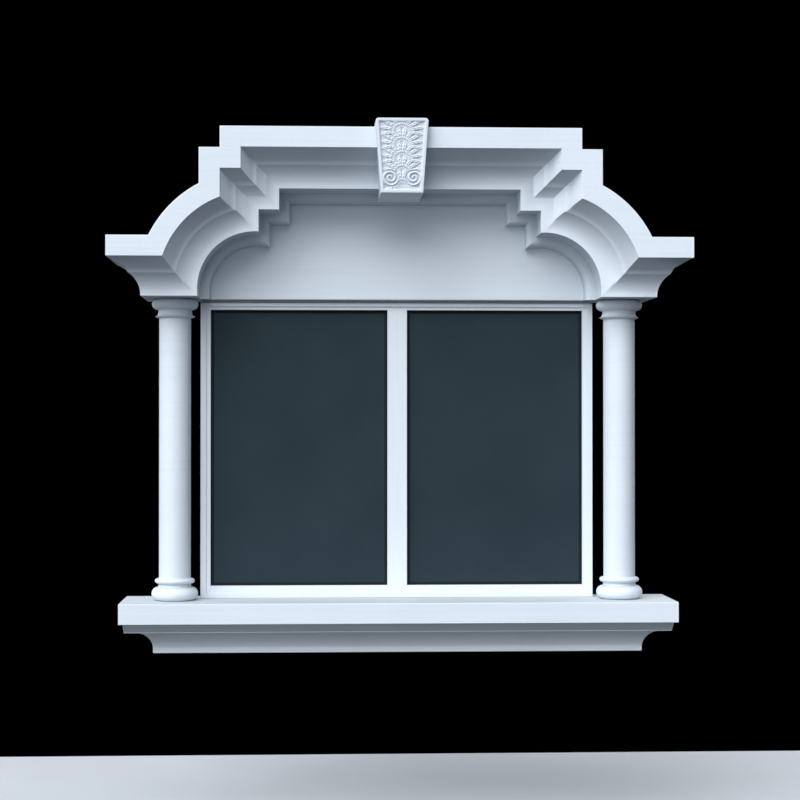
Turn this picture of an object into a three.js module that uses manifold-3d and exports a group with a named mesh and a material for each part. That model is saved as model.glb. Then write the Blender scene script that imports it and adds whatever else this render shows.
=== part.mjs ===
// Window surround: a stepped and arched hood on two round columns, with a carved
// keystone, a flat tympanum, a moulded sill and a fixed two-light window.
// Millimetres, +Z up. The wall is the plane y = 0 and the front faces -Y.
// The origin is the centre of the sill's back face.

import * as THREE from 'three';
import { mergeVertices } from 'three/addons/utils/BufferGeometryUtils.js';
import Module from 'manifold-3d';

// Clearance between pieces that touch, and how far a cut runs past the solid it is taken from
const GAP = 0.3;
const CUT_PAST = 20;

// Window: a standard 1600 by 1200 frame with two fixed lights
const FRAME_WIDTH = 1600;
const FRAME_FACE_HEIGHT = 1200;
const FRAME_DEPTH = 120;
const FRAME_JAMB = 41;
const FRAME_HEAD = 28;
const FRAME_BOTTOM_RAIL = 50;
const FRAME_OUTER_STRIP = 23;
const FRAME_STEP = 8;
const MULLION_WIDTH = 80;
const HEAD_SHADOW_GAP = 11;
const HEAD_SHADOW_DEPTH = 40;
const GLASS_THICKNESS = 24;
const GLASS_SETBACK = 30;
const OPENING_HEIGHT = FRAME_FACE_HEIGHT + HEAD_SHADOW_GAP;

// Sill, with its moulding returned along both ends; its fillet is upright there and leans back
// along the front
const SILL_HALF_WIDTH = 1108;
const SILL_DEPTH = 368;
const SILL_FASCIA = 82;
const SILL_FILLET = 38;
const SILL_FILLET_RECESS = 16;
const SILL_FRONT_FILLET_FOOT = 61;
const SILL_COVE_START = 67;
const SILL_SLOPE_HOLLOW = 0.6;
const SILL_COVE_WIDTH = 60;
const SILL_COVE_HEIGHT = 68;
const SILL_FOOT = 19;
const SILL_HEIGHT = SILL_FASCIA + SILL_FILLET + SILL_COVE_HEIGHT + SILL_FOOT;
const SILL_TOP = SILL_HEIGHT / 2;

// Columns
const COLUMN_X = 898;
const COLUMN_Y = -192;
const COLUMN_HEIGHT = OPENING_HEIGHT - 2 * GAP;
const SHAFT_RADIUS = 63.5;
const TORUS_RADIUS = 93;
const RING_RADIUS = 80;
const NECK_RADIUS = 67;
const BASE_TORUS_HEIGHT = 54;
const BASE_NECK_HEIGHT = 13;
const BASE_RING_HEIGHT = 22;
const CAPITAL_TORUS_HEIGHT = 45;
const CAPITAL_NECK_HEIGHT = 8;
const CAPITAL_FLARE_HEIGHT = 18;
const CAPITAL_LIP_HEIGHT = 4;
const COLUMN_SIDES = 32;
const TORUS_STEPS = 8;
const RING_STEPS = 5;
const FLARE_STEPS = 3;

// Crown: the outline of its outer edge, as offsets from the middle and from its top
const CROWN_HALF_WIDTH = 1147;
const CROWN_DEPTH = 498;
const UPPER_STEP_X = 707;
const LOWER_STEP_X = 788;
const STEP_DROP = 83;
const END_DROP = 425;
const ARC_CENTRE_X = 573;
const ARC_CENTRE_DROP = 626;
const ARC_RADIUS = 456;
const ARC_STEPS = 10;

// Crown: its moulding, measured inwards from that outline and back from its face
const CROWN_PROJECTION = 124;
const CROWN_FASCIA = 82;
const SLOPE_END = 117;
const FILLET_END = 138;
const COVE_START = THREE.MathUtils.degToRad(38);
const COVE_END = 222;
const MOULDING_WIDTH = 229;
const FILLET_TOP_PROJECTION = 57;
const FILLET_FOOT_PROJECTION = 46;
const SOFFIT_DEPTH = 6;
const COVE_STEPS = 6;
const CROWN_HEIGHT = END_DROP + MOULDING_WIDTH;
const CROWN_BOTTOM = SILL_TOP + OPENING_HEIGHT;
const CROWN_TOP = CROWN_BOTTOM + CROWN_HEIGHT;

// Plain band set back inside the arch, and the flat panel behind it
const BAND_WIDTH = 40;
const BAND_FACE = -212;
const BAND_ROUND = 24;
const BAND_ROUND_STEPS = 5;
const TYMPANUM_FACE = -150;

// Keystone
const KEYSTONE_RISE = 30;
const KEYSTONE_HEIGHT = 292;
const KEYSTONE_TOP_WIDTH = 208;
const KEYSTONE_BOTTOM_WIDTH = 165;
const KEYSTONE_PROUD = 36;
const KEYSTONE_CORNER = 14;
const KEYSTONE_MARGIN = 11;
const KEYSTONE_SINK = 7;
const KEYSTONE_BACK = BAND_FACE - 2 * GAP;
const CARVING_COLUMNS = 36;
const CARVING_ROWS = 52;

// Keystone carving on the right of its middle line: a scroll at the foot, and fans of leaves
// that spring from points on the middle line, all as heights above the foot
const SCROLL_MIDDLE = [43, 60];
const SCROLL_RADIUS = 25;
const SCROLL_PITCH = 15;
const SCROLL_RIDGE = 6;
const FAN_ROOTS = [26, 80, 134, 188, 242];
const FAN_ANGLES = [-12, 11, 34, 57, 80].map(THREE.MathUtils.degToRad);
const LEAF_OUT = 42;
const LEAF_LENGTH = 34;
const LEAF_WIDTH = 9;

const wasm = await Module();
wasm.setup();

// Materials
function finish(color, roughness) {
  return new THREE.MeshStandardMaterial({ color, roughness, metalness: 0 });
}

function castStone() {
  return finish(0xe9eef3, 0.62);
}

function whiteFrame() {
  return finish(0xf1f5f8, 0.4);
}

function darkGlass() {
  return finish(0x2e3b43, 0.12);
}

// A closed mesh from a list of triangles, each of three [x, y, z] corners
function meshOf(triangles) {
  const geometry = new THREE.BufferGeometry();
  geometry.setAttribute('position', new THREE.Float32BufferAttribute(triangles.flat(2), 3));
  return mergeVertices(geometry);
}

// Triangles between two lines with as many points; seen from outside with the lines running
// to the right, the first line is the upper one
function strip(upper, lower) {
  const triangles = [];
  for (let i = 0; i + 1 < upper.length; i++) {
    triangles.push([upper[i], lower[i], lower[i + 1]]);
    triangles.push([upper[i], lower[i + 1], upper[i + 1]]);
  }
  return triangles;
}

// Triangles over a flat polygon that face along a direction; flatten gives its two plane axes
function plate(polygon, flatten, direction) {
  const contour = polygon.map((point) => new THREE.Vector2(...flatten(point)));
  return THREE.ShapeUtils.triangulateShape(contour, []).map((corners) => {
    const triangle = corners.map((corner) => polygon[corner]);
    const face = new THREE.Triangle(...triangle.map((point) => new THREE.Vector3(...point)));
    const outward = face.getNormal(new THREE.Vector3()).dot(direction) > 0;
    return outward ? triangle : triangle.reverse();
  });
}

// Closed skin over level rings, from the top ring down; each ring runs to the right along the
// front and back along the rear, and its last corner sees all of it
function stack(rings) {
  const triangles = [];
  for (let r = 0; r + 1 < rings.length; r++) {
    const upper = [...rings[r], rings[r][0]];
    const lower = [...rings[r + 1], rings[r + 1][0]];
    triangles.push(...strip(upper, lower));
  }
  const top = rings[0];
  const bottom = rings.at(-1);
  for (let i = 0; i + 2 < top.length; i++) {
    triangles.push([top.at(-1), top[i], top[i + 1]]);
    triangles.push([bottom.at(-1), bottom[i + 1], bottom[i]]);
  }
  return meshOf(triangles);
}

// A flat outline in the X-Z plane, thickened from the plane y = back to the plane y = front
function slab(outline, back, front) {
  const shape = new THREE.Shape(outline.map(([x, z]) => new THREE.Vector2(x, z)));
  const geometry = new THREE.ExtrudeGeometry(shape, { depth: back - front, bevelEnabled: false });
  geometry.rotateX(Math.PI / 2);
  geometry.translate(0, back, 0);
  return geometry;
}

function rectangle(left, right, bottom, top) {
  return [[left, bottom], [right, bottom], [right, top], [left, top]];
}

// Solids that can be joined and cut
function toSolid(geometry) {
  const bare = geometry.clone();
  bare.deleteAttribute('normal');
  bare.deleteAttribute('uv');
  const merged = mergeVertices(bare);
  const vertProperties = new Float32Array(merged.attributes.position.array);
  const triVerts = new Uint32Array(merged.index.array);
  return new wasm.Manifold(new wasm.Mesh({ numProp: 3, vertProperties, triVerts }));
}

function toGeometry(solid) {
  const { vertProperties, triVerts } = solid.getMesh();
  const geometry = new THREE.BufferGeometry();
  geometry.setAttribute('position', new THREE.BufferAttribute(vertProperties, 3));
  geometry.setIndex(new THREE.BufferAttribute(triVerts, 1));
  geometry.computeVertexNormals();
  return geometry;
}

// Hollow curve from one point to another: a quarter of an ellipse, from a start angle on.
// It reaches the end along the first coordinate; from 0 it leaves along the second.
function cove([t0, p0], [t1, p1], steps, start = 0) {
  const points = [];
  for (let i = 0; i <= steps; i++) {
    const angle = THREE.MathUtils.lerp(start, Math.PI / 2, i / steps);
    const across = 1 - Math.cos(angle) / Math.cos(start);
    const down = (Math.sin(angle) - Math.sin(start)) / (1 - Math.sin(start));
    points.push([t0 + (t1 - t0) * across, p0 + (p1 - p0) * down]);
  }
  return points;
}

// Sill: how far each level ring lies below the top and behind the fascia
function sillProfile(filletFoot, hollow) {
  return [
    [0, 0],
    [SILL_FASCIA, 0],
    [SILL_FASCIA, SILL_FILLET_RECESS],
    [SILL_FASCIA + SILL_FILLET, filletFoot],
    ...hollow,
    [SILL_HEIGHT, SILL_COVE_START + SILL_COVE_WIDTH],
  ];
}

// The hollow under the fillet is a full cove at the ends and a shallow slope along the front
function endHollow() {
  const top = SILL_FASCIA + SILL_FILLET;
  const end = [top + SILL_COVE_HEIGHT, SILL_COVE_START + SILL_COVE_WIDTH];
  return cove([top, SILL_COVE_START], end, COVE_STEPS);
}

function frontHollow() {
  const start = SILL_FRONT_FILLET_FOOT + 2 * GAP;
  return endHollow().map(([drop]) => {
    const share = (drop - SILL_FASCIA - SILL_FILLET) / SILL_COVE_HEIGHT;
    const bowed = share + SILL_SLOPE_HOLLOW * share * (1 - share);
    return [drop, THREE.MathUtils.lerp(start, SILL_COVE_START + SILL_COVE_WIDTH, bowed)];
  });
}

function levelRing(left, right, front, z) {
  return [[left, front, z], [right, front, z], [right, 0, z], [left, 0, z]];
}

function sillGeometry() {
  const front = sillProfile(SILL_FRONT_FILLET_FOOT, frontHollow());
  const ends = sillProfile(SILL_FILLET_RECESS, endHollow());
  const rings = ends.map(([drop, endRecess], i) => {
    const half = SILL_HALF_WIDTH - endRecess;
    const frontRecess = front[i][1];
    return levelRing(-half, half, frontRecess - SILL_DEPTH, SILL_TOP - drop);
  });
  return stack(rings);
}

// Column: half section from the foot up, as radius and height
function halfRound(radius, inner, bottom, height, steps) {
  const points = [];
  for (let i = 0; i <= steps; i++) {
    const angle = (i / steps) * Math.PI;
    const rise = (height / 2) * (1 - Math.cos(angle));
    points.push([inner + (radius - inner) * Math.sin(angle), bottom + rise]);
  }
  return points;
}

function capitalSection(top) {
  const torusBottom = top - CAPITAL_TORUS_HEIGHT;
  const neckBottom = torusBottom - CAPITAL_NECK_HEIGHT;
  const flareBottom = neckBottom - CAPITAL_FLARE_HEIGHT;
  const lipBottom = flareBottom - CAPITAL_LIP_HEIGHT;
  const flare = cove([flareBottom, RING_RADIUS], [neckBottom, NECK_RADIUS], FLARE_STEPS);
  const torusFoot = NECK_RADIUS + 2 * GAP;
  return [
    [SHAFT_RADIUS, lipBottom - CAPITAL_LIP_HEIGHT],
    [RING_RADIUS - CAPITAL_LIP_HEIGHT, lipBottom],
    ...flare.map(([z, radius]) => [radius, z]),
    ...halfRound(TORUS_RADIUS, torusFoot, torusBottom, CAPITAL_TORUS_HEIGHT, TORUS_STEPS),
  ];
}

function columnSection() {
  const neckTop = BASE_TORUS_HEIGHT + BASE_NECK_HEIGHT;
  const ringFoot = SHAFT_RADIUS + 2 * GAP;
  return [
    [0, 0],
    ...halfRound(TORUS_RADIUS, NECK_RADIUS, 0, BASE_TORUS_HEIGHT, TORUS_STEPS),
    ...halfRound(RING_RADIUS, ringFoot, neckTop, BASE_RING_HEIGHT, RING_STEPS),
    [SHAFT_RADIUS, neckTop + BASE_RING_HEIGHT + 2 * GAP],
    ...capitalSection(COLUMN_HEIGHT),
    [0, COLUMN_HEIGHT],
  ];
}

function columnGeometry() {
  const section = columnSection().map(([radius, z]) => new THREE.Vector2(radius, z));
  const geometry = new THREE.LatheGeometry(section, COLUMN_SIDES);
  geometry.rotateX(Math.PI / 2);
  return geometry;
}

// Crown moulding: distance inwards from the outline, and how far it stands out from the core
function crownProfile() {
  return [
    [0, CROWN_PROJECTION],
    [CROWN_FASCIA, CROWN_PROJECTION],
    [CROWN_FASCIA, CROWN_PROJECTION - SOFFIT_DEPTH],
    [SLOPE_END, FILLET_TOP_PROJECTION],
    ...cove([FILLET_END, FILLET_FOOT_PROJECTION], [COVE_END, 0], COVE_STEPS, COVE_START),
    [MOULDING_WIDTH, 0],
  ];
}

// From the moulding's lower edge over the set-back band, rounded at its inner edge, to the wall
function insideProfile() {
  const bandEnd = MOULDING_WIDTH + BAND_WIDTH;
  const profile = [[MOULDING_WIDTH, -CROWN_CORE_DEPTH], [MOULDING_WIDTH, BAND_FACE]];
  for (let i = 0; i <= BAND_ROUND_STEPS; i++) {
    const angle = ((Math.PI / 2) * i) / BAND_ROUND_STEPS;
    const offset = bandEnd - BAND_ROUND * (1 - Math.sin(angle));
    profile.push([offset, BAND_FACE + BAND_ROUND * (1 - Math.cos(angle))]);
  }
  return [...profile, [bandEnd, 0]];
}

const CROWN_CORE_DEPTH = CROWN_DEPTH - CROWN_PROJECTION;
const CROWN_CORE_X = CROWN_HALF_WIDTH - CROWN_PROJECTION;

// Right half of the outline moved inwards by an offset, from the middle to the foot of the arc.
// The foot lies on the line that is footDrop below the crown's top.
function halfOutline(offset, footDrop) {
  const radius = ARC_RADIUS - offset;
  const stepX = LOWER_STEP_X - offset;
  const startAngle = Math.acos((stepX - ARC_CENTRE_X) / radius);
  const endAngle = Math.asin((ARC_CENTRE_DROP - footDrop) / radius);
  const points = [
    [UPPER_STEP_X - offset, CROWN_TOP - offset],
    [UPPER_STEP_X - offset, CROWN_TOP - STEP_DROP - offset],
    [stepX, CROWN_TOP - STEP_DROP - offset],
  ];
  for (let i = 0; i < ARC_STEPS; i++) {
    const angle = THREE.MathUtils.lerp(startAngle, endAngle, i / ARC_STEPS);
    const x = ARC_CENTRE_X + radius * Math.cos(angle);
    const z = CROWN_TOP - ARC_CENTRE_DROP + radius * Math.sin(angle);
    points.push([x, z]);
  }
  points.push([ARC_CENTRE_X + radius * Math.cos(endAngle), CROWN_TOP - footDrop]);
  return points;
}

// A right half with its mirror image, from the left end over the top to the right end
function bothHalves(right) {
  const left = right.map(([x, ...rest]) => [-x, ...rest]).reverse();
  return [...left, ...right];
}

function archOutline(offset) {
  return bothHalves(halfOutline(offset, Math.min(END_DROP + offset, CROWN_HEIGHT)));
}

// One line of the arch at an offset from its outline and at a depth
function archLine(offset, y) {
  return archOutline(offset).map(([x, z]) => [x, y, z]);
}

// One line of the moulding, along the arch, the level ends and the returns to the wall
function mouldingLine(offset, projection) {
  const drop = END_DROP + offset;
  const y = -CROWN_CORE_DEPTH - projection;
  const endX = CROWN_CORE_X + projection;
  const endZ = CROWN_TOP - drop;
  const right = halfOutline(offset, drop).map(([x, z]) => [x, y, z]);
  return bothHalves([...right, [endX, y, endZ], [endX, 0, endZ]]);
}

// Level underside of one end, from the arch to the mitre and back to the wall
function crownUnderside(side) {
  const inside = insideProfile().map(([offset, y]) => [halfOutline(offset, CROWN_HEIGHT).at(-1)[0], y]);
  const outline = [...inside, [CROWN_CORE_X, 0], [CROWN_CORE_X, -CROWN_CORE_DEPTH]];
  const polygon = outline.map(([x, y]) => [side * x, y, CROWN_BOTTOM]);
  return plate(polygon, ([x, y]) => [x, y], new THREE.Vector3(0, 0, -1));
}

// The whole crown before the keystone's pocket: moulding, set-back band, top, underside and back
function crownSkin() {
  const moulding = crownProfile().map(([offset, projection]) => mouldingLine(offset, projection));
  const inside = insideProfile().map(([offset, y]) => archLine(offset, y));
  const outerEdge = moulding[0].slice(1, -1);
  const outerWall = outerEdge.map(([x, , z]) => [x, 0, z]);
  const triangles = strip(outerWall, outerEdge);
  for (let k = 0; k + 1 < moulding.length; k++) {
    triangles.push(...strip(moulding[k], moulding[k + 1]));
  }
  for (let k = 0; k + 1 < inside.length; k++) {
    triangles.push(...strip(inside[k], inside[k + 1]));
  }
  const rightReturn = moulding.slice(1).map((line) => line.at(-1));
  const leftReturn = moulding.slice(1).map((line) => line[0]);
  const back = [...outerWall, ...rightReturn, ...inside.at(-1).toReversed(), ...leftReturn.reverse()];
  triangles.push(...plate(back, ([x, , z]) => [x, z], new THREE.Vector3(0, 1, 0)));
  triangles.push(...crownUnderside(1), ...crownUnderside(-1));
  return meshOf(triangles);
}

// Keystone: half width at a height above its foot, with rounded top corners
function keystoneHalfWidth(height) {
  const share = height / KEYSTONE_HEIGHT;
  const straight = THREE.MathUtils.lerp(KEYSTONE_BOTTOM_WIDTH, KEYSTONE_TOP_WIDTH, share) / 2;
  const intoCorner = Math.max(0, height - (KEYSTONE_HEIGHT - KEYSTONE_CORNER));
  const kept = Math.sqrt(KEYSTONE_CORNER ** 2 - intoCorner ** 2);
  return straight - (KEYSTONE_CORNER - kept);
}

// One carved leaf: a rounded ridge that leaves a root on the middle line at an angle
function leaf(x, z, root, angle) {
  const along = x * Math.cos(angle) + (z - root) * Math.sin(angle) - LEAF_OUT;
  const across = (z - root) * Math.cos(angle) - x * Math.sin(angle);
  return 1 - (along / LEAF_LENGTH) ** 2 - (across / LEAF_WIDTH) ** 2;
}

// The carved scroll: a ridge that winds inwards to the eye, at a place seen from its middle
function scroll(x, z) {
  const distance = Math.hypot(x, z);
  const turn = Math.atan2(z, x) / (2 * Math.PI);
  let relief = 0;
  for (let r = SCROLL_RADIUS - SCROLL_PITCH * turn; r > -SCROLL_RIDGE; r -= SCROLL_PITCH) {
    relief = Math.max(relief, 1 - ((distance - r) / SCROLL_RIDGE) ** 2);
  }
  return relief;
}

// Leaf work of the keystone, from 0 on the sunk field to 1 on the crests; both halves are alike
// and spread with the keystone's width
function leafWork(signedX, z) {
  const x = (Math.abs(signedX) * keystoneHalfWidth(0)) / keystoneHalfWidth(z);
  const scrollX = x - SCROLL_MIDDLE[0];
  const scrollZ = z - SCROLL_MIDDLE[1];
  if (Math.hypot(scrollX, scrollZ) < SCROLL_RADIUS + SCROLL_RIDGE) {
    return scroll(scrollX, scrollZ);
  }
  const leaves = FAN_ROOTS.flatMap((root) => FAN_ANGLES.map((angle) => leaf(x, z, root, angle)));
  return Math.max(0, ...leaves);
}

// How far the keystone's face lies behind its margin at a point
function keystoneSink(x, height) {
  const toSide = keystoneHalfWidth(height) - Math.abs(x);
  const toEnd = Math.min(height, KEYSTONE_HEIGHT - height);
  const inside = Math.min(toSide, toEnd) - KEYSTONE_MARGIN;
  const slope = THREE.MathUtils.clamp(inside / KEYSTONE_SINK, 0, 1);
  return slope * KEYSTONE_SINK * (1 - leafWork(x, height));
}

const KEYSTONE_FACE = -CROWN_DEPTH - KEYSTONE_PROUD;
const KEYSTONE_FOOT = CROWN_TOP + KEYSTONE_RISE - KEYSTONE_HEIGHT;

function keystoneGeometry() {
  const rings = [];
  for (let row = CARVING_ROWS; row >= 0; row--) {
    const height = (row / CARVING_ROWS) * KEYSTONE_HEIGHT;
    const half = keystoneHalfWidth(height);
    const z = KEYSTONE_FOOT + height;
    const front = [];
    for (let i = 0; i <= CARVING_COLUMNS; i++) {
      const x = THREE.MathUtils.lerp(-half, half, i / CARVING_COLUMNS);
      front.push([x, KEYSTONE_FACE + keystoneSink(x, height), z]);
    }
    rings.push([...front, [half, KEYSTONE_BACK, z], [-half, KEYSTONE_BACK, z]]);
  }
  return stack(rings);
}

// Pocket that the keystone takes out of the crown
function keystonePocket() {
  const foot = KEYSTONE_FOOT - GAP;
  const head = CROWN_TOP + KEYSTONE_RISE - KEYSTONE_CORNER;
  const bottomHalf = keystoneHalfWidth(0) + GAP;
  const topHalf = keystoneHalfWidth(head - KEYSTONE_FOOT) + GAP;
  const outline = [[-bottomHalf, foot], [bottomHalf, foot], [topHalf, head], [-topHalf, head]];
  return slab(outline, BAND_FACE - GAP, KEYSTONE_FACE - CUT_PAST);
}

function crownGeometry() {
  return toGeometry(toSolid(crownSkin()).subtract(toSolid(keystonePocket())));
}

function tympanumGeometry() {
  return slab(archOutline(MOULDING_WIDTH + BAND_WIDTH + GAP), 0, TYMPANUM_FACE);
}

// Window: the opening of one light, to the left (-1) or right (1) of the mullion
function lightOutline(side, clearance) {
  const nearX = side * (MULLION_WIDTH / 2 + clearance);
  const farX = side * (FRAME_WIDTH / 2 - FRAME_JAMB - clearance);
  const bottom = SILL_TOP + FRAME_BOTTOM_RAIL + clearance;
  const top = SILL_TOP + FRAME_FACE_HEIGHT - FRAME_HEAD - clearance;
  return rectangle(Math.min(nearX, farX), Math.max(nearX, farX), bottom, top);
}

function frameGeometry() {
  const half = FRAME_WIDTH / 2;
  const bottom = SILL_TOP + GAP;
  const faceTop = SILL_TOP + FRAME_FACE_HEIGHT;
  const top = CROWN_BOTTOM - GAP;
  const inner = half - FRAME_OUTER_STRIP;
  const stepOutline = rectangle(-inner, inner, bottom + FRAME_OUTER_STRIP, faceTop - FRAME_HEAD / 2);
  const headOutline = rectangle(-half - CUT_PAST, half + CUT_PAST, faceTop, top + CUT_PAST);
  const ahead = -FRAME_DEPTH - CUT_PAST;
  const cuts = [
    slab(stepOutline, FRAME_STEP - FRAME_DEPTH, ahead),
    slab(headOutline, HEAD_SHADOW_DEPTH - FRAME_DEPTH, ahead),
    slab(lightOutline(-1, 0), CUT_PAST, ahead),
    slab(lightOutline(1, 0), CUT_PAST, ahead),
  ];
  const block = toSolid(slab(rectangle(-half, half, bottom, top), 0, -FRAME_DEPTH));
  return toGeometry(cuts.reduce((solid, cut) => solid.subtract(toSolid(cut)), block));
}

function glassGeometry(side) {
  const face = GLASS_SETBACK - FRAME_DEPTH;
  return slab(lightOutline(side, GAP), face + GLASS_THICKNESS, face);
}

function piece(name, geometry, material) {
  const mesh = new THREE.Mesh(geometry, material);
  mesh.name = name;
  return mesh;
}

function column(name, side) {
  const mesh = piece(name, columnGeometry(), castStone());
  mesh.position.set(side * COLUMN_X, COLUMN_Y, SILL_TOP + GAP);
  return mesh;
}

const surround = new THREE.Group();
surround.add(
  piece('sill', sillGeometry(), castStone()),
  column('column_left', -1),
  column('column_right', 1),
  piece('crown', crownGeometry(), castStone()),
  piece('tympanum', tympanumGeometry(), castStone()),
  piece('keystone', keystoneGeometry(), castStone()),
  piece('window_frame', frameGeometry(), whiteFrame()),
  piece('glass_left', glassGeometry(-1), darkGlass()),
  piece('glass_right', glassGeometry(1), darkGlass()),
);

export default surround;
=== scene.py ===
import math

import bmesh
import bpy
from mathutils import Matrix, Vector


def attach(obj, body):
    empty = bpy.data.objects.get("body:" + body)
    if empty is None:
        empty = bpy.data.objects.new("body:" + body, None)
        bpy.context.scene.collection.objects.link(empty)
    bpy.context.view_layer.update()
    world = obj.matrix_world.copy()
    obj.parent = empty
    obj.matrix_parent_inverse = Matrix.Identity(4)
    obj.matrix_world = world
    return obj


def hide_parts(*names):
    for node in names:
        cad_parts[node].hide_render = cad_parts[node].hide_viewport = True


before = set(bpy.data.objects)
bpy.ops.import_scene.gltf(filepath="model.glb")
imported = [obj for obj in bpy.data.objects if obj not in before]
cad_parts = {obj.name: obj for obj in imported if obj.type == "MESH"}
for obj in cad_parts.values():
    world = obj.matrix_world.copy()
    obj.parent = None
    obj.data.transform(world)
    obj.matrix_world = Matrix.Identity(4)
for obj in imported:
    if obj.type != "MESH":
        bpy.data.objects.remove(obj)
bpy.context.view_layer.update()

# Sizes in millimetres; those of the solids are the same here
MM = 0.001
GAP = 0.3
MERGE_DISTANCE = 0.001

# Worn arrises: their size, how many steps they take, the least turn that counts as an arris,
# and how much of a short side they may use up
ARRIS = 3.0
ARRIS_STEPS = 4
LEAST_TURN = math.radians(38)
MOST_USED = 0.45
SHARP_ANGLE = math.radians(33)

# Window frame, and panes with their rubber seals
FRAME_HALF_WIDTH = 800
FRAME_FACE_HEIGHT = 1200
FRAME_DEPTH = 120
FRAME_JAMB = 41
FRAME_HEAD = 28
FRAME_BOTTOM_RAIL = 50
FRAME_OUTER_STRIP = 23
FRAME_STEP = 8
MULLION_WIDTH = 80
HEAD_SHADOW_GAP = 11
HEAD_SHADOW_DEPTH = 40
GLASS_THICKNESS = 24
GLASS_SETBACK = 30
SEAL_WIDTH = 11
SEAL_PROUD = 3
SEAL_ARRIS = 1
OPENING_HEIGHT = FRAME_FACE_HEIGHT + HEAD_SHADOW_GAP

# Sill: its fillet is upright at the ends and leans back along the front
SILL_HALF_WIDTH = 1108
SILL_DEPTH = 368
SILL_FASCIA = 82
SILL_FILLET = 38
SILL_FILLET_RECESS = 16
SILL_FRONT_FILLET_FOOT = 61
SILL_COVE_START = 67
SILL_SLOPE_HOLLOW = 0.6
SILL_COVE_WIDTH = 60
SILL_COVE_HEIGHT = 68
SILL_FOOT = 19
SILL_HEIGHT = SILL_FASCIA + SILL_FILLET + SILL_COVE_HEIGHT + SILL_FOOT
SILL_TOP = SILL_HEIGHT / 2

# Columns
COLUMN_X = 898
COLUMN_Y = -192
COLUMN_HEIGHT = OPENING_HEIGHT - 2 * GAP
SHAFT_RADIUS = 63.5
TORUS_RADIUS = 93
RING_RADIUS = 80
NECK_RADIUS = 67
BASE_TORUS_HEIGHT = 54
BASE_NECK_HEIGHT = 13
BASE_RING_HEIGHT = 22
CAPITAL_TORUS_HEIGHT = 45
CAPITAL_NECK_HEIGHT = 8
CAPITAL_FLARE_HEIGHT = 18
CAPITAL_LIP_HEIGHT = 4
COLUMN_SIDES = 96
TORUS_STEPS = 24
RING_STEPS = 16

# Crown: its outline, its moulding, the band set back inside it and the panel behind
CROWN_HALF_WIDTH = 1147
CROWN_DEPTH = 498
UPPER_STEP_X = 707
LOWER_STEP_X = 788
STEP_DROP = 83
END_DROP = 425
ARC_CENTRE_X = 573
ARC_CENTRE_DROP = 626
ARC_RADIUS = 456
ARC_STEPS = 40
CROWN_PROJECTION = 124
CROWN_FASCIA = 82
SLOPE_END = 117
FILLET_END = 138
COVE_START = math.radians(38)
COVE_END = 222
MOULDING_WIDTH = 229
FILLET_TOP_PROJECTION = 57
FILLET_FOOT_PROJECTION = 46
SOFFIT_DEPTH = 6
COVE_STEPS = 14
CROWN_HEIGHT = END_DROP + MOULDING_WIDTH
CROWN_BOTTOM = SILL_TOP + OPENING_HEIGHT
CROWN_TOP = CROWN_BOTTOM + CROWN_HEIGHT
CROWN_CORE_DEPTH = CROWN_DEPTH - CROWN_PROJECTION
CROWN_CORE_X = CROWN_HALF_WIDTH - CROWN_PROJECTION
BAND_WIDTH = 40
BAND_FACE = -212
BAND_ROUND = 24
BAND_ROUND_STEPS = 8
TYMPANUM_FACE = -150
TYMPANUM_ARRIS = 6

# Keystone
KEYSTONE_RISE = 30
KEYSTONE_HEIGHT = 292
KEYSTONE_TOP_WIDTH = 208
KEYSTONE_BOTTOM_WIDTH = 165
KEYSTONE_PROUD = 36
KEYSTONE_CORNER = 14
KEYSTONE_MARGIN = 11
KEYSTONE_SINK = 7
KEYSTONE_BACK = BAND_FACE - 2 * GAP
KEYSTONE_FACE = -CROWN_DEPTH - KEYSTONE_PROUD
KEYSTONE_FOOT = CROWN_TOP + KEYSTONE_RISE - KEYSTONE_HEIGHT
CARVING_COLUMNS = 150
CARVING_ROWS = 220

# Keystone carving: a scroll at the foot and fans of leaves, as heights above the foot
SCROLL_MIDDLE = (43, 60)
SCROLL_RADIUS = 25
SCROLL_PITCH = 15
SCROLL_RIDGE = 6
FAN_ROOTS = [26, 80, 134, 188, 242]
FAN_ANGLES = [math.radians(degrees) for degrees in (-12, 11, 34, 57, 80)]
LEAF_OUT = 42
LEAF_LENGTH = 34
LEAF_WIDTH = 9
LEAF_GROOVE = 0.4
LEAF_GROOVE_WIDTH = 1.6
LOBE_LENGTH = 13
LOBE_DEPTH = 0.3


# Lines and skins

def lerp(start, end, share):
    return start + (end - start) * share


def cove(start, end, steps, start_angle=0.0):
    """Hollow quarter of an ellipse between two points, from a start angle on."""
    points = []
    for i in range(steps + 1):
        angle = lerp(start_angle, math.pi / 2, i / steps)
        across = 1 - math.cos(angle) / math.cos(start_angle)
        down = (math.sin(angle) - math.sin(start_angle)) / (1 - math.sin(start_angle))
        points.append((lerp(start[0], end[0], across), lerp(start[1], end[1], down)))
    return points


def half_round(radius, inner, bottom, height, steps):
    """Half of a torus section from its foot up, as radius and height."""
    points = []
    for i in range(steps + 1):
        angle = math.pi * i / steps
        rise = height / 2 * (1 - math.cos(angle))
        points.append((lerp(inner, radius, math.sin(angle)), bottom + rise))
    return points


def eased(points, radius):
    """The same line with each sharp corner worn to a small curve."""
    line = [Vector(point) for point in points]
    result = [line[0]]
    for before, corner, after in zip(line, line[1:], line[2:]):
        back = before - corner
        ahead = after - corner
        if math.pi - back.angle(ahead) < LEAST_TURN:
            result.append(corner)
            continue
        reach = min(radius, MOST_USED * back.length, MOST_USED * ahead.length)
        start = corner + back.normalized() * reach
        end = corner + ahead.normalized() * reach
        for i in range(ARRIS_STEPS + 1):
            share = i / ARRIS_STEPS
            result.append(start.lerp(corner, share).lerp(corner.lerp(end, share), share))
    result.append(line[-1])
    return [tuple(point) for point in result]


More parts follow.
